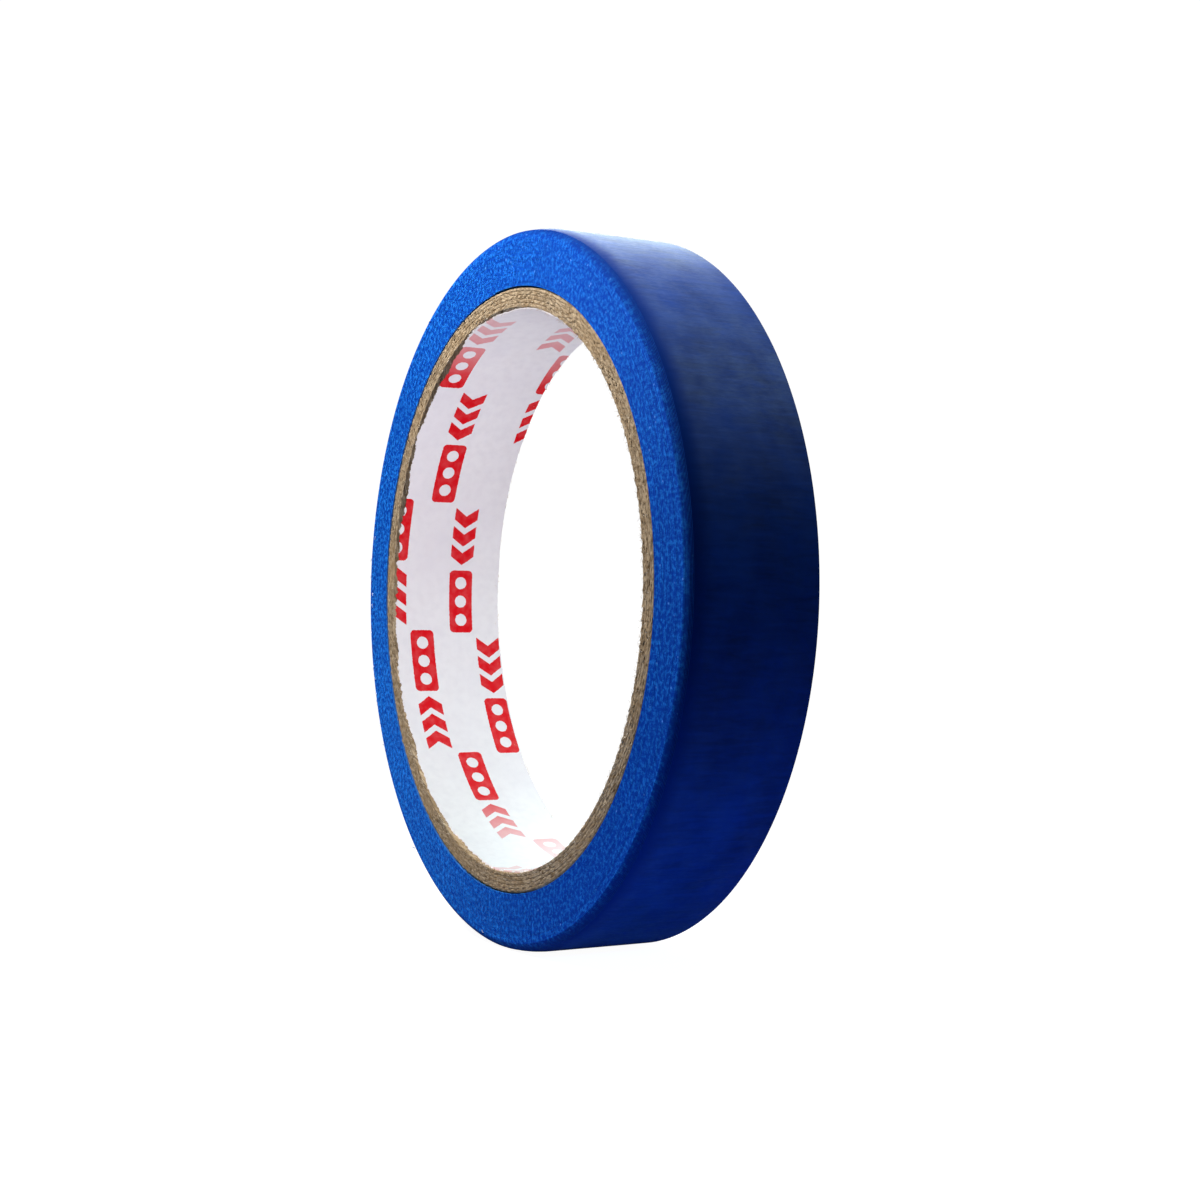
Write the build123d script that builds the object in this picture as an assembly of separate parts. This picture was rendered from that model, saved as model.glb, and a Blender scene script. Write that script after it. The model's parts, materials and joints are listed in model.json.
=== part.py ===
from build123d import *
import os
from math import asin, atan, cos, degrees, pi, radians, sin, tan

# Roll of crepe masking tape, standing on its rim.
# The roll's axis is Y. The origin is on that axis, halfway across the strip's width, and +Z is up.
# Lengths are millimetres. Angles run from +X towards +Z.

# ---- driving dimensions ----
bore_radius = 38.1          # a 3 inch core
strip_width = 18.0          # the strip and its core are slit together, so both have this width
roll_radius = 48.95         # at the free end, where the winding is thickest

liner_thickness = 0.2       # printed white paper
core_ply_count = 5
core_ply_thickness = 0.53   # kraft board
seam_gap = 0.15             # where the two sides of one spiral-wound ply meet
ply_strip_width = 100.0     # width of the strips that the core tube is wound from

tape_thickness = 0.14
axis_height = 48.85         # of the roll's axis above the table: the rim is pressed flat below it

free_end_angle = 146.0
peel_segment_count = 6
peel_segment_length = 6.0
segment_end_gap = 0.05      # between the end faces of neighbouring segments
peel_gap = 0.03             # between the peeling stretch and the turn below it

# ---- derived dimensions ----
half_width = strip_width / 2
liner_outer_radius = bore_radius + liner_thickness
core_radius = liner_outer_radius + core_ply_count * core_ply_thickness
segment_angle = degrees(peel_segment_length / roll_radius)
peel_root_angle = free_end_angle - peel_segment_count * segment_angle
turn_count = (roll_radius - core_radius) / tape_thickness
strip_length = pi * (roll_radius**2 - core_radius**2) / tape_thickness


def polar(radius, angle):
    """Point of the XZ plane at this distance from the axis and this angle in degrees."""
    return Vector(radius * cos(radians(angle)), 0, radius * sin(radians(angle)))


def arc(radius, start_angle, end_angle, centre=Vector(0, 0, 0)):
    """Circular edge in the XZ plane from one angle to another, about a centre."""
    middle_angle = (start_angle + end_angle) / 2
    points = [centre + polar(radius, angle) for angle in (start_angle, middle_angle, end_angle)]
    return ThreePointArc(*points)


def slab(edges, holes=()):
    """Closed outline in the XZ plane, less its holes, extruded across the whole strip width."""
    face = Face(Wire(edges), [Wire([hole]) for hole in holes])
    solid = extrude(face, amount=half_width, dir=(0, 1, 0), both=True)
    return solid.solids()[0]


def tube(inner_radius, outer_radius):
    """Plain ring about the roll's axis, as wide as the strip."""
    upright = Rot(X=90)
    return upright * (Cylinder(outer_radius, strip_width) - Cylinder(inner_radius, strip_width))


def seam_cutter(radius, angle):
    """Thin slanted blade that cuts one ply right through, along the seam of its strip.

    A strip as wide as ply_strip_width butts against itself on every turn of the tube, so the sine
    of its slant is that width over the tube's circumference. The blade stands on the chord that
    the seam spans, and reaches out past the ply.
    """
    slant = degrees(asin(ply_strip_width / (2 * pi * radius)))
    seam_half_span = half_width / tan(radians(slant))
    seam_depth = radius - (radius**2 - (1.2 * seam_half_span) ** 2) ** 0.5
    blade_height = 2 * (seam_depth + core_ply_thickness)
    blade = Box(2.4 * half_width / sin(radians(slant)), seam_gap, blade_height)
    return Rot(Y=90 - angle) * Pos(0, 0, radius) * Rot(Z=slant) * blade


def core_ply(inner_radius, outer_radius, seam_angle):
    """One ply of the core tube: a ring with the slanted seam of its spiral-wound strip."""
    middle_radius = (inner_radius + outer_radius) / 2
    ply = tube(inner_radius, outer_radius) - seam_cutter(middle_radius, seam_angle)
    return ply.solids()[0]


def tape_winding():
    """All turns of the strip up to the peeling stretch, as one block.

    The outer face is a two-centre spiral: a half turn about the axis, then a half turn whose
    centre is half a thickness further back, which ends one thickness lower. Over the peeling
    stretch the top turn is missing, and the rim is flat where it rests on the table.
    """
    opposite_angle = free_end_angle - 180
    second_centre = polar(tape_thickness / 2, opposite_angle)
    second_radius = roll_radius - tape_thickness / 2
    bed_radius = roll_radius - tape_thickness - peel_gap

    first_half = arc(roll_radius, peel_root_angle, opposite_angle)
    second_half = arc(second_radius, opposite_angle, opposite_angle - 180, second_centre)
    bed = arc(bed_radius, free_end_angle, peel_root_angle)
    end_step = Line(second_half @ 1, bed @ 0)
    root_step = Line(bed @ 1, first_half @ 0)
    bore = Edge.make_circle(core_radius, Plane.XZ)
    block = slab([first_half, second_half, end_step, bed, root_step], [bore])

    table_depth = 10
    table = Pos(0, 0, -axis_height - table_depth / 2) * Box(60, 2 * strip_width, table_depth)
    return (block - table).solids()[0]


def tape_end_segment(index):
    """One stiff stretch of the peeling end, counted from its root, one strip thickness thick."""
    clearance_angle = degrees(segment_end_gap / 2 / roll_radius)
    start_angle = peel_root_angle + index * segment_angle + clearance_angle
    end_angle = start_angle + segment_angle - 2 * clearance_angle
    outer = arc(roll_radius, start_angle, end_angle)
    inner = arc(roll_radius - tape_thickness, end_angle, start_angle)
    return slab([outer, Line(outer @ 1, inner @ 0), inner, Line(inner @ 1, outer @ 0)])


def build():
    """Every node of the roll, by name."""
    nodes = {"core_liner": tube(bore_radius, liner_outer_radius).solids()[0]}
    for index in range(core_ply_count):
        inner_radius = liner_outer_radius + index * core_ply_thickness
        seam_angle = 205.0 + 67.0 * index       # the seams are spread round the tube
        ply = core_ply(inner_radius, inner_radius + core_ply_thickness, seam_angle)
        nodes[f"core_ply_{index + 1}"] = ply
    nodes["tape_winding"] = tape_winding()
    for index in range(peel_segment_count):
        nodes[f"tape_end_{index + 1}"] = tape_end_segment(index)
    return nodes


def main():
    os.makedirs("parts", exist_ok=True)
    for name, solid in build().items():
        export_step(solid, f"parts/{name}.step")

    print(f"turns {turn_count:.1f}, strip length {strip_length / 1000:.2f} m")
    for index in range(peel_segment_count):
        hinge = polar(roll_radius, peel_root_angle + index * segment_angle)
        print(f"hinge {index + 1} at x {hinge.X:.4f}, z {hinge.Z:.4f}")
    rim = (roll_radius**2 - axis_height**2) ** 0.5
    print(f"rim flat about {2 * rim:.1f} mm, tips past {degrees(atan(rim / axis_height)):.1f} degrees")


main()
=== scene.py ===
# %% [markdown]
# # A roll of blue masking tape
# The roll is one strip of crepe paper wound on a paper core. Everything here is drawn around the
# imported CAD model, which gives the sizes, the place of each piece and the hinges of the free end.
# So the first cell loads that frame.

# %% The frame
import json
import bmesh
import bpy
import numpy as np
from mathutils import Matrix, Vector


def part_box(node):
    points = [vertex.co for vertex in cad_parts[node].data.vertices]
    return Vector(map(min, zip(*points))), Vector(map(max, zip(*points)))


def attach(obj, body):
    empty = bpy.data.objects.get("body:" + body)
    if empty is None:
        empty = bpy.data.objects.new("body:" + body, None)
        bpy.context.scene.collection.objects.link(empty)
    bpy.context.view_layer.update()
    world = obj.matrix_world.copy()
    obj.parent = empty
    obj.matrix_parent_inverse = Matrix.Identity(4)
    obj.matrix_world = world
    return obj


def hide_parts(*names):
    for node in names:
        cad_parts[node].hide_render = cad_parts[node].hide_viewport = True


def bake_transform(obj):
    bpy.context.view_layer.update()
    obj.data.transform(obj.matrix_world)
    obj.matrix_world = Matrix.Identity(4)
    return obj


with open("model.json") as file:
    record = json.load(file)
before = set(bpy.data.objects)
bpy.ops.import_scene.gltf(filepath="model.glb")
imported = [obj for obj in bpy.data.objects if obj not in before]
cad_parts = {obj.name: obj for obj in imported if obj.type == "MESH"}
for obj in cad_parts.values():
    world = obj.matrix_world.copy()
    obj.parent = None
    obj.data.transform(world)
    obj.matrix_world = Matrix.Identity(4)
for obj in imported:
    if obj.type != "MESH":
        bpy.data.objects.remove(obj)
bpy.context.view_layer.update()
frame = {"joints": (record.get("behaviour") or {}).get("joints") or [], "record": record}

# %% [markdown]
# ## Sizes
# Radii, width and hinges are read from the frame, so they can't drift away from the CAD model.
# Only what the CAD leaves out is a number of its own, such as the pitch of the winding.
# Angles run from +X towards +Z in degrees, and a winding angle goes on counting over the turns.

# %% Sizes from the frame
MM = 0.001
mounts = {mount["name"]: mount for mount in frame["record"]["mounts"]}
hinges = np.array([joint["pos_m"] for joint in frame["joints"]])

bore_radius = mounts["core_bore"]["dims"]["r_mm"] * MM
liner_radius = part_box("core_liner")[1].z
ply_names = [f"core_ply_{number}" for number in range(1, 6)]
ply_radii = [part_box(name)[1].z for name in ply_names]
core_radius = ply_radii[-1]
roll_radius = float(np.hypot(hinges[0, 0], hinges[0, 2]))
half_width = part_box("tape_winding")[1].y
axis_height = -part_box("tape_winding")[0].z

hinge_angles = np.degrees(np.arctan2(hinges[:, 2], hinges[:, 0]))
segment_angle = float(np.diff(hinge_angles).mean())
free_end = hinge_angles[-1] + segment_angle
peel_root = hinge_angles[0]

pitch = 0.14 * MM            # how far each turn lifts the next one
tape_thickness = 0.12 * MM   # drawn a little thinner than the pitch, so that turns don't touch
turn_count = (roll_radius - core_radius) / pitch
print(f"{turn_count:.1f} turns, roll {2000 * roll_radius:.1f} mm across")

# %% [markdown]
# ## Small tools
# Every surface here is a function of two parameters, worked out with numpy on a whole grid at
# once. One function turns such a grid into a closed mesh, whose faces then look outward. One more
# adds a node to a material, and one turns a screen colour into the linear values of a shader.

# %% Grid to mesh
def face_outward(mesh):
    """Turns the faces of closed shells outward, which makes the volume they enclose positive."""
    shells = bmesh.new()
    shells.from_mesh(mesh)
    if shells.calc_volume(signed=True) < 0:
        mesh.flip_normals()
    shells.free()


def closed_band(name, points, uv, close_path=False):
    """Mesh of a section carried along a path.

    points[i, j] is corner j of section i. Each section is a closed loop, so the last corner joins
    the first. The path is closed too, or its two ends are capped with one face each.
    uv[i, j] has one column more than points, for the seam of the section, and one row more where
    the path is closed.
    """
    count, corners, _ = points.shape
    steps = count if close_path else count - 1
    i, j = np.meshgrid(np.arange(steps), np.arange(corners), indexing="ij")
    i_next, j_next = (i + 1) % count, (j + 1) % corners
    quads = np.stack([i * corners + j, i_next * corners + j,
                      i_next * corners + j_next, i * corners + j_next], axis=-1).reshape(-1, 4)
    uv_rows = np.stack([uv[i, j], uv[i + 1, j], uv[i + 1, j + 1], uv[i, j + 1]], axis=2)
    loop_uv = uv_rows.reshape(-1, 2)
    loops, starts = quads.ravel(), np.arange(0, quads.size, 4)
    if not close_path:
        first_cap = np.arange(corners)
        last_cap = (count - 1) * corners + np.arange(corners)[::-1]
        starts = np.concatenate([starts, [loops.size, loops.size + corners]])
        loops = np.concatenate([loops, first_cap, last_cap])
        caps_uv = np.concatenate([uv[0, :corners], uv[count - 1, :corners][::-1]])
        loop_uv = np.concatenate([loop_uv, caps_uv])

    mesh = bpy.data.meshes.new(name)
    mesh.vertices.add(count * corners)
    mesh.vertices.foreach_set("co", points.astype(np.float32).ravel())
    mesh.loops.add(loops.size)
    mesh.loops.foreach_set("vertex_index", loops.astype(np.int32))
    mesh.polygons.add(starts.size)
    mesh.polygons.foreach_set("loop_start", starts.astype(np.int32))
    layer = mesh.uv_layers.new(name="surface_mm")
    layer.data.foreach_set("uv", loop_uv.astype(np.float32).ravel())
    mesh.update(calc_edges=True)
    mesh.validate()
    face_outward(mesh)
    piece = bpy.data.objects.new(name, mesh)
    bpy.context.scene.collection.objects.link(piece)
    return piece


def on_roll(radius, angle, across):
    """Points at a distance from the roll's axis, at an angle in degrees, and at a place across it."""
    turn = np.radians(angle)
    return np.stack(np.broadcast_arrays(radius * np.cos(turn), across, radius * np.sin(turn)), axis=-1)


def finish_piece(piece, body, materials, sharp_angle=35):
    """Gives a piece its body and its materials, and smooth shading with real corners."""
    for material in materials:
        piece.data.materials.append(material)
    piece.data.shade_smooth()
    piece.data.set_sharp_from_angle(angle=np.radians(sharp_angle))
    if body:
        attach(piece, body)
    size = [round(1000 * length, 2) for length in piece.dimensions]
    print(f"{piece.name}: {len(piece.data.polygons)} faces, {size} mm")
    return piece


# %% Colours and nodes
def linear(hex_colour):
    """A screen colour such as #1E5AC8 as the linear red, green, blue and alpha of a shader."""
    channels = np.array([int(hex_colour[place:place + 2], 16) for place in (1, 3, 5)]) / 255
    curved = np.where(channels > 0.04045, ((channels + 0.055) / 1.055) ** 2.4, channels / 12.92)
    return (*map(float, curved), 1.0)


def add_node(tree, kind, inputs=None, **settings):
    """Adds one node. A node or socket given as an input is linked, and any other value is set."""
    node = tree.nodes.new("ShaderNode" + kind)
    for name, value in settings.items():
        setattr(node, name, value)
    for key, value in (inputs or {}).items():
        if isinstance(value, bpy.types.Node):
            value = value.outputs[0]
        if isinstance(value, bpy.types.NodeSocket):
            tree.links.new(value, node.inputs[key])
        else:
            node.inputs[key].default_value = value
    return node


def new_material(name):
    """An empty node material, with its tree and its Principled shader."""
    material = bpy.data.materials.new(name)
    material.use_nodes = True
    tree = material.node_tree
    return material, tree, tree.nodes["Principled BSDF"]


FACTOR, FIRST, SECOND, MIXED = 0, 6, 7, 2     # sockets of a Mix node that mixes colours


def mix_colours(tree, factor, first, second):
    """The colour between two colours or sockets, by a factor from 0 to 1."""
    node = add_node(tree, "Mix", {FACTOR: factor, FIRST: first, SECOND: second}, data_type="RGBA")
    return node.outputs[MIXED]


# %% [markdown]
# ## Natural unevenness
# Paper is never quite even. A sum of waves with random slants and phases gives a smooth relief
# that repeats nowhere, needs no texture, and is the same on each run because its seed is fixed.
# Long waves one way and short ones the other make ridges, as the creping of the paper does.

# %% Random waves
def random_waves(along, across, lengths_along, lengths_across, count, seed):
    """Relief from -1 to 1, nearly, in points given by two coordinates in metres.

    It is the sum of `count` cosines. Each has a wavelength along and one across, drawn evenly
    between two bounds, and a phase of its own. The sum is divided by the square root of the count.
    """
    rng = np.random.default_rng(seed)
    wave_along = 1 / rng.uniform(*lengths_along, count)
    wave_across = rng.choice([-1, 1], count) / rng.uniform(*lengths_across, count)
    phases = rng.uniform(0, 2 * np.pi, count)
    total = np.zeros(np.broadcast(along, across).shape)
    for u, v, phase in zip(wave_along, wave_across, phases):
        total += np.cos(2 * np.pi * (u * along + v * across) + phase)
    return total / count**0.5


# %% [markdown]
# ## The winding
# The real roll is one long strip wound in a spiral, and its slit edges show on both sides as some
# fifty fine rings. It could be a solid ring with rings drawn on it, but the real layers catch the
# light in their own way, so the strip itself is drawn: a thin band carried along the spiral.
# Each turn sits a hundredth or two of a millimetre to one side, as it does on a wound roll.
# At the bottom the soft layers are pressed flat by the table, the outer ones most.

# %% Spiral path
def spiral_radius(angle):
    """Outer radius of the strip: one pitch less for each turn back from the free end."""
    return roll_radius - pitch * (free_end - angle) / 360


def pressed_radius(radius, angle):
    """Radius after the roll is set down on the table.

    Under the axis the table holds up the last turn, and every turn gives way by the same share of
    its height above the core.
    """
    below = np.maximum(-np.sin(np.radians(angle)), 0.1)
    table_radius = axis_height / below
    last_radius = spiral_radius(free_end - np.mod(free_end - angle, 360))
    share = np.clip((table_radius - core_radius) / (last_radius - core_radius), 0, 1)
    return core_radius + (radius - core_radius) * share


def sideways_shift(angle):
    """How far a turn sits to one side: slow drift from turn to turn, and a little along each turn."""
    turn = angle / 360
    rng = np.random.default_rng(5)
    each_turn = rng.normal(0, 0.007 * MM, int(turn_count) + 6)
    turn_number = turn - turn.min()
    slow = np.interp(turn_number, np.arange(each_turn.size), each_turn)
    drift = 0.015 * MM * np.sin(turn_number * 0.83) * np.cos(turn_number * 0.31 + 1)
    wander = 0.006 * MM * np.cos(np.radians(angle * 3) + turn_number * 2)
    return slow + drift + wander


# %% Worn corner
def corner_recess(radius, side):
    """How far a turn's edge is set back, in metres towards +Y, to round the front corner.

    Handling has rolled the front edges of the outermost turns back. The recess grows with the
    square of the rise through the outer 1.7 mm of the winding. It is 0.9 mm at the very corner, and
    fades evenly across the width to nothing at the back edge.
    """
    wear_and_painted_washout = np.clip(1 - (roll_radius - radius) / (1.7 * MM), 0, 1) ** 2
    return 0.45 * MM * wear_and_painted_washout * (1 - side)


def corner_dip(radius, side):
    """How far a turn's front edge is pressed towards the axis, in metres.

    It grows with the square of the distance into the front 2.6 mm of the width, up to 0.35 mm at
    the corner, and fades out over the outer 2.2 mm of the winding.
    """
    wear_and_painted_washout = np.clip(1 - (roll_radius - radius) / (2.2 * MM), 0, 1) ** 2
    from_back = half_width * (1 - side)
    near_front = np.clip((from_back - 2 * half_width + 2.6 * MM) / (2.6 * MM), 0, 1) ** 2
    return 0.35 * MM * wear_and_painted_washout * near_front


# %% [markdown]
# The crepe of the paper is a field of fine ridges across the strip, about a millimetre apart.
# On the turns inside the roll nobody sees it, so only the last turn and the free end carry it as
# real relief. The finer wrinkles between the ridges are left to the material's bump.

# %% The strip as a band
def crepe_relief(length, across):
    """Height of the paper's ridges, from about -0.025 mm to 0, at a length along the strip."""
    ridges = random_waves(length, across, (0.7 * MM, 1.6 * MM), (5 * MM, 30 * MM), 22, 11)
    broad = random_waves(length, across, (6 * MM, 20 * MM), (10 * MM, 40 * MM), 8, 12)
    return (0.004 * ridges + 0.003 * broad) * MM - 0.012 * MM


def strip_band(name, angles, across_count, crepe):
    """The strip between two winding angles, as a closed band.

    A section is a thin rectangle with a small ridge along each slit edge: its outer face runs
    across from -Y to +Y, and its inner face runs back. Only a creped band has a relief.
    """
    across = np.linspace(-1, 1, across_count)
    edge = 1 + 0.02 * MM / half_width
    side = np.concatenate([across, [edge], across[::-1], [-edge]])
    depth = np.ones(side.size)
    depth[:across_count] = 0
    depth[across_count] = depth[-1] = 0.5

    length = np.radians(angles) * roll_radius
    radius = spiral_radius(angles)[:, None] - depth[None, :] * tape_thickness
    place = side[None, :] * half_width + sideways_shift(angles)[:, None]
    place += corner_recess(spiral_radius(angles)[:, None], side[None, :])
    radius = radius - corner_dip(spiral_radius(angles)[:, None], side[None, :])
    if crepe:
        outer = np.s_[:, :across_count]
        radius[outer] += crepe_relief(length[:, None], place[outer])
    radius = pressed_radius(radius, angles[:, None])
    points = on_roll(radius, angles[:, None], place)

    around = np.concatenate([place, place[:, :1]], axis=1)
    uv = np.stack([np.broadcast_to(length[:, None], around.shape), around], axis=-1) / MM
    band = closed_band(name, points, uv)
    band.data.polygons.foreach_set("material_index", face_kinds(len(band.data.polygons), across_count))
    return band


def face_kinds(face_count, across_count):
    """Material of each face of a strip band: 0 outer face, 1 slit edges and cut ends, 2 inner face."""
    section_size = 2 * across_count + 2
    kinds = np.ones(face_count, np.int32)
    column = np.arange(face_count) % section_size
    body = np.arange(face_count) < face_count - 2      # the last two faces are the cut ends
    kinds[body & (column < across_count - 1)] = 0
    kinds[body & (column > across_count) & (column < section_size - 2)] = 2
    return kinds


# %% [markdown]
# ## Crepe masking tape: the outside
# The backing is crepe paper soaked with rubber and dyed blue, with a thin silicone release coat.
# That gives a deep blue with a soft satin gloss that turns pale when seen along the surface.
# Its ridges lie across the strip. The pattern reads the strip's own UV map, which counts
# millimetres along the strip and across it, so it follows the strip wherever it goes.

# %% Crepe backing material
def crepe_backing():
    material, tree, shader = new_material("blue_crepe_backing")
    strip = add_node(tree, "UVMap", uv_map="surface_mm")
    # ridges about 0.9 mm apart and many times as long across the strip
    ridge_place = add_node(tree, "Mapping", {"Vector": strip, "Scale": (1.1, 0.16, 1)})
    ridges = add_node(tree, "TexNoise", {"Vector": ridge_place, "Scale": 1.0, "Detail": 4.0,
                                         "Roughness": 0.62, "Distortion": 0.6})
    # fine wrinkles of 0.25 mm, drawn twice as coarse as the real ones so that they show
    fine_place = add_node(tree, "Mapping", {"Vector": strip, "Scale": (4.0, 1.1, 1)})
    wrinkles = add_node(tree, "TexNoise", {"Vector": fine_place, "Scale": 1.0, "Detail": 3.0,
                                           "Roughness": 0.6})
    # clouds of about 10 mm, where the coating soaked in more or less
    cloud_place = add_node(tree, "Mapping", {"Vector": strip, "Scale": (0.08, 0.12, 1)})
    clouds = add_node(tree, "TexNoise", {"Vector": cloud_place, "Scale": 1.0, "Detail": 3.0})

    deep, plain, pale = linear("#011E5E"), linear("#022A7A"), linear("#043896")
    # painted shade in the creases: the low places of the ridge relief get the deep blue, the high ones the
    # plain blue
    crease_shade_tone = add_node(tree, "MapRange", {"Value": ridges, 1: 0.35, 2: 0.7})
    cloud_tone = add_node(tree, "MapRange", {"Value": clouds, 1: 0.35, 2: 0.75, 4: 0.5})
    colour = mix_colours(tree, crease_shade_tone, deep, plain)
    colour = mix_colours(tree, cloud_tone, colour, pale)
    # painted shade along the front 2.5 mm: a deeper blue where the rounded corner turns away from the light,
    # and almost no gloss
    across = add_node(tree, "SeparateXYZ", {"Vector": strip}).outputs[1]
    painted_light_mask = add_node(tree, "MapRange", {"Value": across, 1: -8.2, 2: -5.7, 3: 1.0, 4: 0.0},
                      interpolation_type="SMOOTHSTEP")
    colour = mix_colours(tree, painted_light_mask, colour, linear("#01246C"))
    tree.links.new(colour, shader.inputs["Base Color"])
    # haze patches of 3 to 6 mm, where the release coat is thicker
    patch_place = add_node(tree, "Mapping", {"Vector": strip, "Scale": (0.25, 0.3, 1)})
    patches = add_node(tree, "TexNoise", {"Vector": patch_place, "Scale": 1.0, "Detail": 4.0})
    gloss = add_node(tree, "MapRange", {"Value": patches, 1: 0.35, 2: 0.7, 3: 0.08, 4: 0.16})
    gloss = mix_colours(tree, painted_light_mask, gloss.outputs[0], (0.01, 0.01, 0.01, 1))
    tree.links.new(gloss, shader.inputs["Specular IOR Level"])

    height = add_node(tree, "Math", {0: ridges, 1: wrinkles}, operation="ADD")
    bump = add_node(tree, "Bump", {"Height": height, "Strength": 0.22, "Distance": 0.05 * MM})
    tree.links.new(bump.outputs[0], shader.inputs["Normal"])
    roughness = add_node(tree, "MapRange", {"Value": wrinkles, 1: 0.3, 2: 0.7, 3: 0.48, 4: 0.62})
    tree.links.new(roughness.outputs[0], shader.inputs["Roughness"])
    shader.inputs["Specular Tint"].default_value = linear("#D0FFFF")
    shader.inputs["Sheen Weight"].default_value = 0.05
    shader.inputs["Sheen Roughness"].default_value = 0.3
    shader.inputs["Sheen Tint"].default_value = linear("#C8F0FF")
    return material


# %% [markdown]
# ## Slit edges
# The side of the roll is cut with razor knives. The cut paper fibres scatter the light, so the
# edges are a brighter and flatter blue than the coated face, full of specks where fibres stand
# up, and darker where there is more adhesive between two turns.

# %% Slit edge material
def slit_edge():
    material, tree, shader = new_material("blue_slit_edge")
    place = add_node(tree, "TexCoord").outputs["Object"]
    # fibre specks of about 0.6 mm, a size that still shows when the whole roll is in view
    specks = add_node(tree, "TexNoise", {"Vector": place, "Scale": 1 / (0.6 * MM), "Detail": 3.0,
                                         "Roughness": 0.7})
    blotches = add_node(tree, "TexNoise", {"Vector": place, "Scale": 1 / (7 * MM), "Detail": 3.0})
    strip = add_node(tree, "UVMap", uv_map="surface_mm")
    # along the strip the tone changes slowly, so it shows as faint arcs round the roll
    along = add_node(tree, "Mapping", {"Vector": strip, "Scale": (0.02, 0, 0)})
    arcs = add_node(tree, "TexNoise", {"Vector": along, "Scale": 1.0, "Detail": 5.0,
                                       "Roughness": 0.7})
    dark, plain, bright = linear("#003494"), linear("#0248B4"), linear("#2486EA")
    arc_tone = add_node(tree, "MapRange", {"Value": arcs, 1: 0.35, 2: 0.65})
    # painted light: more bright specks towards the -X side, which makes that side of the face look more
    # brightly lit
    sideways = add_node(tree, "SeparateXYZ", {"Vector": place}).outputs[0]
    painted_lit_side = add_node(tree, "MapRange", {"Value": sideways, 1: -roll_radius, 2: 0.4 * roll_radius,
                                           3: 1.3, 4: 0.6})
    speck_tone = add_node(tree, "MapRange", {"Value": specks, 1: 0.46, 2: 0.62})
    speck_tone = add_node(tree, "Math", {0: speck_tone, 1: painted_lit_side}, operation="MULTIPLY")
    blotch_tone = add_node(tree, "MapRange", {"Value": blotches, 1: 0.4, 2: 0.8, 4: 0.35})
    colour = mix_colours(tree, arc_tone, dark, plain)
    colour = mix_colours(tree, speck_tone, colour, bright)
    colour = mix_colours(tree, blotch_tone, colour, dark)
    # a few pale loose fibres and dust grains
    grains = add_node(tree, "TexVoronoi", {"Vector": place, "Scale": 1 / (1.7 * MM)})
    dust = add_node(tree, "MapRange", {"Value": grains, 1: 0.05, 2: 0.11, 3: 0.7, 4: 0.0})
    colour = mix_colours(tree, dust, colour, linear("#5C9CF4"))
    # painted shade and highlight on the outermost turns: dark where the rounded corner turns away from the
    # light, and a pale painted highlight on the -X side
    reach = add_node(tree, "Mapping", {"Vector": place, "Scale": (1, 0, 1)})
    reach = add_node(tree, "VectorMath", {0: reach}, operation="LENGTH").outputs["Value"]
    painted_rim_band = add_node(tree, "MapRange", {"Value": reach, 1: roll_radius - 1.5 * MM,
                                          2: roll_radius - 0.1 * MM}, interpolation_type="SMOOTHSTEP")
    painted_light_mask = add_node(tree, "MapRange", {"Value": sideways, 1: -0.9 * roll_radius,
                                         2: -0.3 * roll_radius, 3: 1.0, 4: 0.0})
    rim = mix_colours(tree, painted_light_mask, linear("#00307E"), linear("#2A90F4"))
    colour = mix_colours(tree, painted_rim_band, colour, rim)
    tree.links.new(colour, shader.inputs["Base Color"])
    bump = add_node(tree, "Bump", {"Height": specks, "Strength": 0.7, "Distance": 0.08 * MM})
    tree.links.new(bump.outputs[0], shader.inputs["Normal"])
    shader.inputs["Roughness"].default_value = 0.75
    shader.inputs["Specular IOR Level"].default_value = 0.05
    return material


# %% [markdown]
# ## The sticky side
# The inner face carries a film of rubber adhesive. It is smoother and glossier than the backing,
# and paler, because the film is milky and the light has to pass it twice.

# %% Adhesive material
def adhesive_film():
    material, tree, shader = new_material("milky_adhesive")
    strip = add_node(tree, "UVMap", uv_map="surface_mm")
    place = add_node(tree, "Mapping", {"Vector": strip, "Scale": (0.9, 0.2, 1)})
    ridges = add_node(tree, "TexNoise", {"Vector": place, "Scale": 1.0, "Detail": 4.0})
    tone = add_node(tree, "MapRange", {"Value": ridges, 1: 0.35, 2: 0.7})
    colour = mix_colours(tree, tone, linear("#2463B4"), linear("#4482CC"))
    tree.links.new(colour, shader.inputs["Base Color"])
    bump = add_node(tree, "Bump", {"Height": ridges, "Strength": 0.3, "Distance": 0.04 * MM})
    tree.links.new(bump.outputs[0], shader.inputs["Normal"])
    shader.inputs["Roughness"].default_value = 0.28
    return material


tape_materials = [crepe_backing(), slit_edge(), adhesive_film()]

# %% [markdown]
# The strip is cut into pieces where the CAD has its parts: the turns inside the roll, the last
# turn, and six short stretches of the free end. All the turns inside the roll are one piece with
# few corners to a section, and one section for every 2 degrees. The last turn and the free end
# have a section every quarter millimetre, and 25 corners across the width on each face.

# %% Turns inside the roll
inner_end = peel_root - 360 - 2
core_start = free_end - 360 * turn_count + 360
inner_angles = np.linspace(core_start, inner_end, int((inner_end - core_start) / 2))
turns = strip_band("tape_turns", inner_angles, 2, crepe=False)
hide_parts("tape_winding")
finish_piece(turns, "root", tape_materials)

# %% Last turn
fine_step = np.degrees(0.25 * MM / roll_radius)
seam_lead = segment_angle / 2          # the free end's pieces meet halfway between two hinges
turn_angles = np.arange(inner_end, peel_root - seam_lead + fine_step / 2, fine_step)
across_count = 25
last_turn = strip_band("tape_last_turn", turn_angles, across_count, crepe=True)
finish_piece(last_turn, "root", tape_materials)
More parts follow.
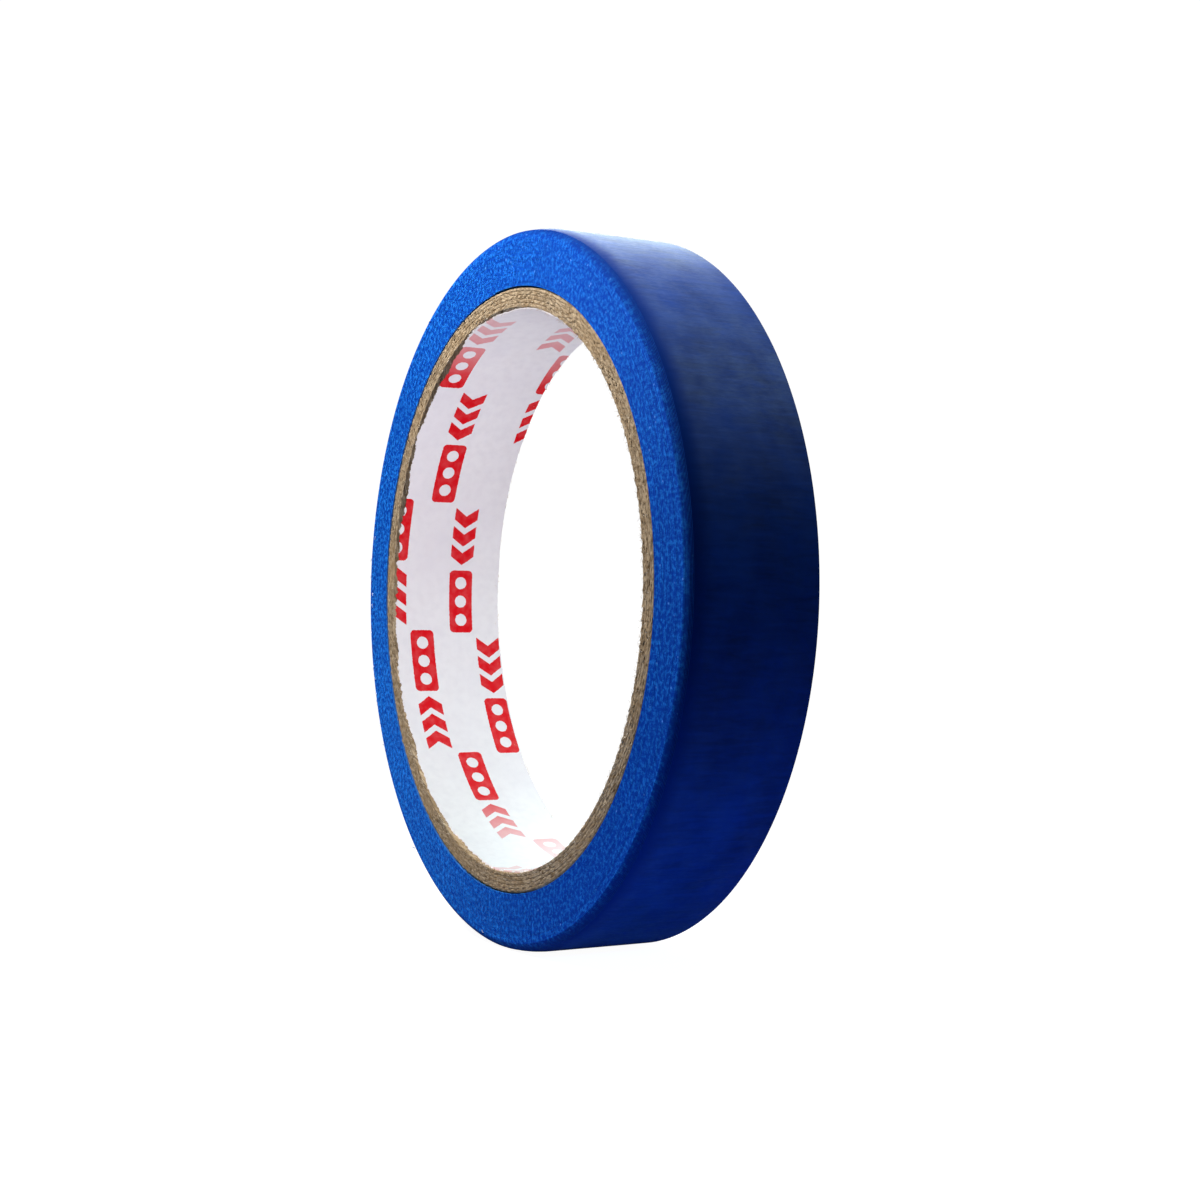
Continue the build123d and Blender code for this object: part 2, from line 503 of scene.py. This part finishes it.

# %% [markdown]
# ## The free end
# The free end of the strip lies on the roll in six pieces. Each piece spans from halfway along one
# stiff stretch to halfway along the next, across the hinge between them, and neighbouring pieces
# meet at these halfway places.

# %% Six pieces of the free end
bend_half_length = 0.42 * segment_angle
for index, hinge_angle in enumerate(hinge_angles):
    last = index == len(hinge_angles) - 1
    piece_start = hinge_angle - seam_lead
    piece_end = free_end if last else hinge_angle + seam_lead
    steps = int(round((piece_end - piece_start) / fine_step))
    piece_angles = np.linspace(piece_start, piece_end, steps + 1)
    piece = strip_band(f"tape_end_{index + 1}_bend", piece_angles, across_count, crepe=True)
    bend_start = on_roll(roll_radius, hinge_angle - bend_half_length, 0.0)
    bend_end = on_roll(roll_radius, hinge_angle + bend_half_length, 0.0)
    finish_piece(piece, None, tape_materials)
    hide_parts(f"tape_end_{index + 1}")
    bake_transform(piece)

# %% [markdown]
# ## The core's kraft plies
# A paper core is wound from strips of grey-brown board, glued one over the other in long spirals.
# The cut shows each ply as a ring of torn fibres with a fine groove beside it. Each ply is a ring
# with a slanted butt seam, and its cut faces get a relief of short fibres and rounded edges.

# %% Kraft board material
def kraft_board():
    material, tree, shader = new_material("kraft_board")
    strip = add_node(tree, "UVMap", uv_map="surface_mm")
    place = add_node(tree, "TexCoord").outputs["Object"]
    # fibres about 1 mm long that lie round the tube, a third of a millimetre apart
    fibre_place = add_node(tree, "Mapping", {"Vector": strip, "Scale": (0.9, 3.2, 1)})
    fibres = add_node(tree, "TexNoise", {"Vector": fibre_place, "Scale": 1.0, "Detail": 5.0,
                                         "Roughness": 0.7, "Distortion": 1.0})
    specks = add_node(tree, "TexNoise", {"Vector": place, "Scale": 1 / (0.8 * MM), "Detail": 3.0})
    stains = add_node(tree, "TexNoise", {"Vector": place, "Scale": 1 / (9 * MM), "Detail": 2.0})
    tone = add_node(tree, "MapRange", {"Value": fibres, 1: 0.36, 2: 0.62})
    speck_tone = add_node(tree, "MapRange", {"Value": specks, 1: 0.48, 2: 0.66, 4: 0.75})
    stain_tone = add_node(tree, "MapRange", {"Value": stains, 1: 0.4, 2: 0.7, 4: 0.5})
    colour = mix_colours(tree, tone, linear("#55442F"), linear("#BEA98C"))
    colour = mix_colours(tree, speck_tone, colour, linear("#6B5438"))
    colour = mix_colours(tree, stain_tone, colour, linear("#9C8260"))
    tree.links.new(colour, shader.inputs["Base Color"])
    height = add_node(tree, "Math", {0: fibres, 1: specks}, operation="ADD")
    bump = add_node(tree, "Bump", {"Height": height, "Strength": 0.8, "Distance": 0.1 * MM})
    tree.links.new(bump.outputs[0], shader.inputs["Normal"])
    shader.inputs["Roughness"].default_value = 0.9
    shader.inputs["Specular IOR Level"].default_value = 0.2
    return material


# %% Plies
board_strip_width = 100 * MM     # of the strips of board that the tube is wound from
seam_gap = 0.15 * MM             # between the two sides of a strip, where they meet


def ply_ring(name, inner_radius, outer_radius, seam_angle, seed):
    """One ply as an open ring, whose ends meet at a seam slanted across the tube.

    The sine of the slant is the strip's width over the tube's circumference. A section is a slanted
    rectangle: six corners on each cut face, and ten more across each curved face, so that the
    slanted lines keep to the cylinder. The cut faces sink by a random fibre relief, and by 0.05 mm
    more at both radii, which leaves grooves between the plies. The last ply sinks by 0.4 mm beside
    the tape, where the real core shows a dark gap.
    """
    cut = np.array([0, 0.08, 0.3, 0.7, 0.92, 1.0])
    outermost = outer_radius > core_radius - 0.01 * MM
    rounding = 0.05 * MM * np.array([1, 0.3, 0, 1, 5, 8] if outermost else [1, 0.3, 0, 0, 0.3, 1])
    crossing = np.linspace(1, -1, 12)[1:-1]
    face, level = np.ones(cut.size), np.zeros(crossing.size)
    depth = np.concatenate([cut, level + 1, cut[::-1], level])
    side = np.concatenate([face, crossing, -face, crossing[::-1]])
    sinking = np.concatenate([rounding, level, rounding[::-1], level])
    radius = inner_radius + (outer_radius - inner_radius) * depth

    mean_radius = (inner_radius + outer_radius) / 2
    angles = np.linspace(0, 360 - np.degrees(seam_gap / mean_radius), 961)[:, None]
    length = np.radians(angles) * mean_radius
    fibres = random_waves(length, radius[None, :], (0.5 * MM, 2.2 * MM), (0.25 * MM, 0.9 * MM), 26, seed)
    rough = 0.06 * MM * (fibres - 1.2) * (np.abs(side) == 1)
    place = side * (half_width - sinking + rough)
    seam_slant = np.arcsin(board_strip_width / (2 * np.pi * mean_radius))
    turned = np.degrees(place / np.tan(seam_slant) / mean_radius)
    points = on_roll(radius[None, :], seam_angle + angles + turned, place)

    around = np.concatenate([radius, radius[:1]])
    uv = np.stack(np.broadcast_arrays(length, around[None, :]), axis=-1) / MM
    return closed_band(name, points, uv)


kraft = kraft_board()
inner_radii = [liner_radius] + ply_radii[:-1]
for number, (name, inner, outer) in enumerate(zip(ply_names, inner_radii, ply_radii)):
    ply = ply_ring(f"{name}_board", inner, outer, 205 + 67 * number, 31 + number)
    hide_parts(name)
    finish_piece(ply, "root", [kraft], sharp_angle=60)

# %% [markdown]
# ## The liner and its print
# The innermost ply is thin white paper, printed in red before it was wound. The print's rows run
# along the paper strip, so on the tube they climb in a helix of about twelve degrees, and where the
# strip laps over itself the rows start again. The motifs themselves lie straight round the bore.
# The print is a made-up one: three chevrons and a bar with three dots, each row pointing the other
# way from its neighbours.

# %% Liner shape
print_slant = np.radians(12.2)
liner_strip_width = 2 * np.pi * bore_radius * np.sin(print_slant)
lap_place = -49.5 * MM           # of the lap, measured square to the rows from angle 0


def strip_places(angle, across):
    """Places along and square to the print's rows, on the bore unrolled flat."""
    around = np.radians(angle) * bore_radius
    along_rows = around * np.cos(print_slant) + across * np.sin(print_slant)
    square_to_rows = across * np.cos(print_slant) - around * np.sin(print_slant)
    return along_rows, square_to_rows


def liner_relief(angle, across):
    """How far the paper stands off the core: the lap of the strip, and a few soft creases."""
    _, square = strip_places(angle, across)
    past_lap = np.mod(square - lap_place, liner_strip_width)
    lap = np.exp(-past_lap / (2.5 * MM))
    around = np.radians(angle) * bore_radius
    ripples = random_waves(around, across, (7 * MM, 25 * MM), (9 * MM, 30 * MM), 10, 51)
    return 0.09 * MM * lap + 0.015 * MM * ripples


def liner_band():
    """The liner as a closed ring with torn edges.

    Its bore side has a column every half millimetre across. The front edge is torn back by about
    0.7 mm, and by half of that round 202 degrees, with fine frays and broad waves. The back edge is
    torn back by a fifth of that.
    """
    angles = np.arange(0, 360, 0.375)[:, None]
    around = np.radians(angles) * bore_radius
    bore_side = np.linspace(1, -1, 37)
    side = np.concatenate([bore_side, [-1, 1]])[None, :]
    fray = random_waves(around, side * 50 * MM, (0.5 * MM, 1.8 * MM), (60 * MM, 90 * MM), 24, 52)
    torn = random_waves(around, side * 50 * MM, (5 * MM, 30 * MM), (60 * MM, 90 * MM), 8, 53)
    kept = 0.35 * MM * np.exp(-((angles - 202) / 18) ** 2)
    drawn_back = np.maximum(0.66 * MM - kept + 0.10 * MM * fray + 0.22 * MM * torn, 0.1 * MM)
    drawn_back = np.where(side < 0, drawn_back, 0.2 * drawn_back)
    place = side * (half_width - drawn_back * np.abs(side) ** 10)
    radius = np.broadcast_to(bore_radius - liner_relief(angles, place), place.shape).copy()
    radius[:, bore_side.size:] = liner_radius
    points = on_roll(radius, angles, place)
    uv_angles = np.arange(0, 360.1, 0.375)[:, None]
    place_uv = np.concatenate([place, place[:, :1]], axis=1)
    place_uv = np.concatenate([place_uv, place_uv[:1]], axis=0)
    uv = np.stack(np.broadcast_arrays(np.radians(uv_angles) * bore_radius, place_uv), axis=-1)
    return closed_band("core_liner_paper", points, uv / MM, close_path=True)


def add_print_map(piece):
    """A second UV map, in millimetres along the rows and square to them.

    A face takes its place from its middle, so that a face at the lap belongs to one side of it.
    """
    mesh = piece.data
    loop_uv = np.empty(len(mesh.loops) * 2, np.float32)
    mesh.uv_layers["surface_mm"].data.foreach_get("uv", loop_uv)
    around, across = loop_uv.reshape(-1, 2).T.astype(float) * MM
    along_rows, square = strip_places(np.degrees(around / bore_radius), across)
    totals = np.empty(len(mesh.polygons), np.int32)
    mesh.polygons.foreach_get("loop_total", totals)
    face_of_loop = np.repeat(np.arange(totals.size), totals)
    middle = np.bincount(face_of_loop, square) / totals
    laps = np.floor((middle - lap_place) / liner_strip_width)[face_of_loop]
    square = square - laps * liner_strip_width
    along_rows = along_rows + laps * 2 * np.pi * bore_radius * np.cos(print_slant)
    layer = mesh.uv_layers.new(name="print_mm")
    places = np.stack([along_rows, square], axis=-1) / MM
    layer.data.foreach_set("uv", places.astype(np.float32).ravel())


# %% [markdown]
# The print is worked out in the material from the second UV map. It repeats in pairs of rows, one
# forwards and one backwards, and each point belongs to the row it is nearer to. The place in the
# motif is turned back by the slant, which lays the motifs straight round the bore. Plain
# comparisons then cut out the chevrons, the bar and its dots. A little noise on the edges and in
# the ink stands for the coarse paper. Towards the top and the bottom the ink is paled, a painted
# washout of strong light.

# %% Liner paper material
def printed_paper():
    material, tree, shader = new_material("printed_liner_paper")

    def calc(operation, first, second=0.0, third=0.0):
        """Result of one Math node, from values or sockets."""
        return add_node(tree, "Math", {0: first, 1: second, 2: third}, operation=operation).outputs[0]

    def away(value, middle):
        """How far a value is from a middle one, either way."""
        return calc("ABSOLUTE", calc("SUBTRACT", value, middle))

    def distance(first, second):
        """Square root of the sum of two squares."""
        return calc("SQRT", calc("ADD", calc("POWER", first, 2.0), calc("POWER", second, 2.0)))

    # millimetres: between two rows of a kind, between two motifs of a row, and how far one row's
    # motifs lie along from those of the row of its kind below
    pair_spacing, motif_spacing, pair_shift = 24.15, 21.06, -4.56
    half_length, half_height, corner = 9.95, 1.95, 0.7
    print_map = add_node(tree, "UVMap", uv_map="print_mm")
    uv = add_node(tree, "SeparateXYZ", {"Vector": print_map})
    edge_noise = add_node(tree, "TexNoise", {"Vector": print_map, "Scale": 3.0, "Detail": 2.0})
    wobble = calc("MULTIPLY_ADD", edge_noise, 0.16, -0.08)

    def from_motif(row_place, motif_place):
        """Distances square to and along the rows, from the middle of the nearest motif of one kind."""
        from_row = calc("SUBTRACT", uv.outputs[1], row_place)
        pair = calc("ROUND", calc("DIVIDE", from_row, pair_spacing))
        square = calc("SUBTRACT", from_row, calc("MULTIPLY", pair, pair_spacing))
        start = calc("MULTIPLY_ADD", pair, pair_shift, motif_place - motif_spacing / 2)
        along = calc("FLOORED_MODULO", calc("SUBTRACT", uv.outputs[0], start), motif_spacing)
        return square, calc("SUBTRACT", along, motif_spacing / 2)

    def either(choice, first, second):
        """The first value where the choice is 0, and the second where it is 1."""
        return calc("MULTIPLY_ADD", choice, calc("SUBTRACT", second, first), first)

    square, along = from_motif(-22.0, 7.66)
    square_back, along_back = from_motif(-32.7, 4.2)
    backwards = calc("LESS_THAN", calc("ABSOLUTE", square_back), calc("ABSOLUTE", square))
    square = either(backwards, square, square_back)
    along = either(backwards, along, along_back)
    # the place runs along the motif from 0 to 19.9 mm, and the height is measured from its middle line
    slant_cos, slant_sin = float(np.cos(print_slant)), float(np.sin(print_slant))
    place = calc("SUBTRACT", calc("MULTIPLY", along, slant_cos), calc("MULTIPLY", square, slant_sin))
    direction = calc("MULTIPLY_ADD", backwards, -2.0, 1.0)
    place = calc("MULTIPLY_ADD", calc("ADD", place, wobble), direction, half_length)
    height = calc("ADD", calc("MULTIPLY", along, slant_sin), calc("MULTIPLY", square, slant_cos))
    height = calc("ABSOLUTE", calc("ADD", height, wobble))

    in_row = calc("LESS_THAN", height, half_height)
    # three chevrons, 1.9 mm thick and 2.95 mm apart
    pointed = calc("MULTIPLY_ADD", height, 0.7, calc("SUBTRACT", place, 1.4))
    stripe = calc("LESS_THAN", calc("FLOORED_MODULO", pointed, 2.95), 1.9)
    chevrons = calc("MULTIPLY", stripe, calc("LESS_THAN", away(pointed, 4.0), 4.0))
    # a bar with rounded corners
    bar_middle, bar_half = 14.95, 4.9
    from_middle = away(place, bar_middle)
    past_end = calc("MAXIMUM", calc("SUBTRACT", from_middle, bar_half - corner), 0.0)
    past_side = calc("MAXIMUM", calc("SUBTRACT", height, half_height - corner), 0.0)
    bar = calc("LESS_THAN", distance(past_end, past_side), corner)
    # three dots left white in the bar
    dot_spacing, dot_radius = 2.9, 0.95
    dots_start = bar_middle - 1.5 * dot_spacing
    dot_step = calc("FLOORED_MODULO", calc("SUBTRACT", place, dots_start), dot_spacing)
    dot = calc("LESS_THAN", distance(calc("SUBTRACT", dot_step, dot_spacing / 2), height), dot_radius)
    dots = calc("MULTIPLY", dot, calc("LESS_THAN", from_middle, 1.5 * dot_spacing))
    bar = calc("MULTIPLY", bar, calc("SUBTRACT", 1.0, dots))
    ink = calc("MULTIPLY", in_row, calc("MAXIMUM", chevrons, bar))

    surface = add_node(tree, "TexCoord").outputs["Object"]
    fibres = add_node(tree, "TexNoise", {"Vector": surface, "Scale": 1 / (1.2 * MM), "Detail": 4.0})
    clouds = add_node(tree, "TexNoise", {"Vector": surface, "Scale": 1 / (14 * MM), "Detail": 2.0})
    ink_cover = calc("MULTIPLY", ink, calc("MULTIPLY_ADD", fibres.outputs[0], 0.16, 0.9))
    # painted light: the ink is paled from about 31 mm above and below the axis, as if washed out by strong
    # light
    upright = add_node(tree, "SeparateXYZ", {"Vector": surface}).outputs[2]
    wear_and_painted_washout = add_node(tree, "MapRange", {"Value": away(upright, 1 * MM), 1: 31 * MM, 2: 38 * MM, 3: 1.0, 4: 0.3})
    ink_cover = calc("MULTIPLY", ink_cover, wear_and_painted_washout.outputs[0])
    fibre_tone = add_node(tree, "MapRange", {"Value": fibres, 1: 0.4, 2: 0.7, 4: 0.5})
    cloud_tone = add_node(tree, "MapRange", {"Value": clouds, 1: 0.4, 2: 0.7, 4: 0.6})
    paper = mix_colours(tree, fibre_tone, linear("#F4F1F2"), linear("#E8E4E7"))
    paper = mix_colours(tree, cloud_tone, paper, linear("#EAE5EA"))
    colour = mix_colours(tree, ink_cover, paper, linear("#E00818"))
    tree.links.new(colour, shader.inputs["Base Color"])
    bump = add_node(tree, "Bump", {"Height": fibres, "Strength": 0.25, "Distance": 0.05 * MM})
    tree.links.new(bump.outputs[0], shader.inputs["Normal"])
    shader.inputs["Roughness"].default_value = 0.62
    shader.inputs["Specular IOR Level"].default_value = 0.12
    return material


liner = liner_band()
add_print_map(liner)
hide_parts("core_liner")
finish_piece(liner, "root", [printed_paper()], sharp_angle=50)

# %% [markdown]
# ## Loose fibres on the cut
# Slitting leaves a fuzz of paper fibres where the liner and the board are cut. Each fibre is a
# short bent sliver with a three-cornered section. Thousands of them are one mesh, and each has
# only a few faces. They are thickest where the liner meets the first ply. A few coarser chips
# also stick to the worn front corner, most of them on the -X side.

# %% Fibre fuzz
def bent_slivers(name, angle, radius, place, lengths, widths, rng):
    """Bent slivers on a cut face, from their angles, radii and places across.

    A sliver's middle line is a parabola: it leaves the face along its first direction and is
    carried off sideways with the square of the length. Its half width, drawn between two bounds,
    shrinks to a third at the tip. None reaches more than 0.2 mm past the strip's width.
    """
    count, joints, corners = angle.size, 5, 3
    root = on_roll(radius, angle, place)
    outward = on_roll(1.0, angle, 0.0)
    round_way = on_roll(1.0, angle + 90, 0.0)
    along_axis = np.array([0, 1.0, 0]) * np.sign(place)[:, None]
    lean = rng.uniform(-1, 1, (count, 1)) * round_way + rng.uniform(-0.9, 0.1, (count, 1)) * outward
    first = 0.35 * along_axis + lean
    first /= np.linalg.norm(first, axis=1, keepdims=True)
    bend = rng.normal(0, 0.8, (count, 1)) * round_way + rng.normal(0, 0.5, (count, 1)) * outward
    size = rng.uniform(*lengths, (count, 1, 1))
    t = np.linspace(0, 1, joints)[None, :, None]
    middle = root[:, None, :] + size * (first[:, None, :] * t + 0.5 * bend[:, None, :] * t**2)
    limit = half_width + 0.2 * MM
    middle[..., 1] = np.clip(middle[..., 1], -limit, limit)
    thickness = rng.uniform(*widths, (count, 1, 1)) * (1 - 0.66 * t)
    turn = np.arange(corners) * 2 * np.pi / corners
    across = np.cross(first, along_axis)
    across /= np.linalg.norm(across, axis=1, keepdims=True)
    upright = np.cross(across, first)
    ring = (np.cos(turn)[None, :, None] * across[:, None, :]
            + np.sin(turn)[None, :, None] * upright[:, None, :])
    points = middle[:, :, None, :] + thickness[..., None] * ring[:, None, :, :]

    j, c = np.meshgrid(np.arange(joints - 1), np.arange(corners), indexing="ij")
    c_next = (c + 1) % corners
    quad = np.stack([j * corners + c, j * corners + c_next,
                     (j + 1) * corners + c_next, (j + 1) * corners + c], axis=-1).reshape(-1, 4)
    tip = (joints - 1) * corners + np.arange(corners)
    foot = np.arange(corners)[::-1]
    base = (np.arange(count) * joints * corners)[:, None]
    quads = (base[:, None] + quad[None]).reshape(-1, 4)
    triangles = np.concatenate([base + tip, base + foot])
    mesh = bpy.data.meshes.new(name)
    mesh.from_pydata(points.reshape(-1, 3), [], quads.tolist() + triangles.tolist())
    face_outward(mesh)
    piece = bpy.data.objects.new(name, mesh)
    bpy.context.scene.collection.objects.link(piece)
    return piece


def patchy_paper(name, patch_size, first, second):
    """Rough paper that changes between two colours in patches."""
    material, tree, shader = new_material(name)
    place = add_node(tree, "TexCoord").outputs["Object"]
    patches = add_node(tree, "TexNoise", {"Vector": place, "Scale": 1 / patch_size, "Detail": 1.0})
    tone = add_node(tree, "MapRange", {"Value": patches, 1: 0.42, 2: 0.58})
    tree.links.new(mix_colours(tree, tone, linear(first), linear(second)), shader.inputs["Base Color"])
    shader.inputs["Roughness"].default_value = 0.9
    return material


def core_fuzz():
    """Fuzz on both cut faces of the core, and in the bore, mostly on the -X side."""
    count, rng = 4000, np.random.default_rng(71)
    side = rng.choice([-1, 1], count)
    angle = rng.uniform(0, 360, count)
    spread = rng.exponential(0.5 * MM, count)
    radius = np.minimum(liner_radius + spread - 0.15 * MM, core_radius - 0.1 * MM)
    in_bore = rng.uniform(0, 1, count) < 0.3 - 0.25 * np.cos(np.radians(angle))
    radius = np.where(in_bore, liner_radius, radius)
    depth = np.where(in_bore, rng.uniform(0.1, 1.0, count), 0.08) * MM
    return bent_slivers("core_fibre_fuzz", angle, radius, side * (half_width - depth),
                        (0.15 * MM, 0.5 * MM), (0.015 * MM, 0.03 * MM), rng)


def corner_chips():
    """Pale chips on the front corner of the winding."""
    count, rng = 22, np.random.default_rng(72)
    angle = np.concatenate([rng.normal(194, 13, count - 4), rng.uniform(90, 270, 4)])
    radius = roll_radius - rng.uniform(0.7, 2.4, count) * MM
    place = corner_recess(radius, -1.0) - half_width - 0.04 * MM
    return bent_slivers("corner_chips", angle, pressed_radius(radius, angle), place,
                        (0.3 * MM, 0.7 * MM), (0.05 * MM, 0.10 * MM), rng)


loose_fibre = patchy_paper("loose_paper_fibre", 2.5 * MM, "#E9E0CF", "#B08D5C")
finish_piece(core_fuzz(), "root", [loose_fibre])
tape_chip = patchy_paper("pale_tape_chip", 3 * MM, "#F4F6FC", "#8CB8F4")
finish_piece(corner_chips(), "root", [tape_chip])

# %% [markdown]
# ## Floor, light and camera
# The roll stands on a plain white floor in a white studio. A key light from the front lights the
# slit side. Three large soft lights above and behind the roll give the pale shine along the top of
# the rim, and the rim's own side is left dim. The floor and the world look white to the camera and
# are darker to everything else, so that they don't flood the dim side with light.

# %% Floor and world
def pale_floor():
    material, tree, shader = new_material("pale_floor")
    seen = add_node(tree, "LightPath").outputs["Is Camera Ray"]
    shader.inputs["Base Color"].default_value = (0.38, 0.38, 0.38, 1)
    shader.inputs["Roughness"].default_value = 1.0
    shader.inputs["Specular IOR Level"].default_value = 0.0
    place = add_node(tree, "TexCoord").outputs["Object"]
    away = add_node(tree, "VectorMath", {0: place}, operation="LENGTH").outputs["Value"]
    white = add_node(tree, "MapRange", {"Value": away, 1: 0.06, 2: 0.3, 3: 0.97, 4: 1.05})
    glow = add_node(tree, "Math", {0: seen, 1: white}, operation="MULTIPLY")
    shader.inputs["Emission Color"].default_value = (1, 1, 1, 1)
    tree.links.new(glow.outputs[0], shader.inputs["Emission Strength"])
    return material


floor_half = 3.0
floor_mesh = bpy.data.meshes.new("floor")
floor_corners = [(x * floor_half, y * floor_half, -axis_height)
                 for x, y in ((-1, -1), (1, -1), (1, 1), (-1, 1))]
floor_mesh.from_pydata(floor_corners, [], [(0, 1, 2, 3)])
floor = bpy.data.objects.new("floor", floor_mesh)
bpy.context.scene.collection.objects.link(floor)
floor_mesh.materials.append(pale_floor())

world = bpy.data.worlds.new("white_studio")
bpy.context.scene.world = world
world.use_nodes = True
sky = world.node_tree
seen = add_node(sky, "LightPath").outputs["Is Camera Ray"]
brightness = add_node(sky, "MapRange", {"Value": seen, 3: 0.02, 4: 1.05})
sky.links.new(brightness.outputs[0], sky.nodes["Background"].inputs["Strength"])
sky.nodes["Background"].inputs["Color"].default_value = (1, 1, 1, 1)


# %% [markdown]
# Each light is told what it lights. The liner is lit by a small lamp of its own, which stands for
# the white backdrop seen through the bore, and the key light leaves it out. The three lights above
# leave out the floor, so that it throws no grey glare up the tape. A small blue lamp lights only
# the floor, which bounces it to the rim's lower side.

# %% Lights
def soft_light(name, place, size, watts, colour="#FFFFFF"):
    """A square lamp at a place in metres, aimed at the roll. The camera doesn't see the lamp itself."""
    lamp = bpy.data.lights.new(name, "AREA")
    lamp.size = size
    lamp.energy = watts
    lamp.color = linear(colour)[:3]
    holder = bpy.data.objects.new(name, lamp)
    holder.location = place
    holder.rotation_euler = Vector(place).to_track_quat("Z", "Y").to_euler()
    holder.visible_camera = False
    bpy.context.scene.collection.objects.link(holder)
    return holder


def light_only(lamp, pieces, leave_out=False):
    """Makes a lamp light these pieces only, or every piece but these."""
    group = bpy.data.collections.new(lamp.name + "_pieces")
    for piece in pieces:
        group.objects.link(piece)
    lamp.light_linking.receiver_collection = group
    if leave_out:
        for linked in group.collection_objects:
            linked.light_linking.link_state = "EXCLUDE"


key = soft_light("key_front", (-0.01, -0.095, 0.13), 0.08, 0.44)
backlight = soft_light("backlight", (-0.40, 0.21, 0.33), 0.3, 2.8, "#EEFFFF")
overhead = soft_light("overhead", (-0.12, 0.06, 0.5), 0.3, 1.6, "#EEFFFF")
haze = soft_light("haze", (0.13, 0.26, 0.44), 0.3, 1.6, "#EAFFFF")
liner_lamp = soft_light("liner_fill", (0.10, -0.14, -0.032), 0.04, 0.32, "#FFFAFB")
floor_lamp = soft_light("floor_wash", (0.09, -0.01, -0.012), 0.02, 0.17, "#4898FF")
light_only(liner_lamp, [liner])
light_only(floor_lamp, [floor])
light_only(key, [liner], leave_out=True)
for lamp in (backlight, overhead, haze):
    light_only(lamp, [floor], leave_out=True)

# %% Camera
azimuth, elevation, distance = np.radians(62.37), np.radians(-2.17), 0.2518
aim = Vector((0.0025, 0.0051, -0.00124))
camera = bpy.data.objects.new("camera", bpy.data.cameras.new("camera"))
level = np.cos(elevation)
camera.location = distance * Vector((np.sin(azimuth) * level, -np.cos(azimuth) * level, np.sin(elevation)))
camera.rotation_euler = (aim - camera.location).to_track_quat("-Z", "Y").to_euler()
camera.data.sensor_width = 36
camera.data.lens = 54.4
camera.data.clip_start = 0.01
bpy.context.scene.collection.objects.link(camera)
bpy.context.scene.camera = camera
bpy.context.scene.view_settings.view_transform = "Standard"
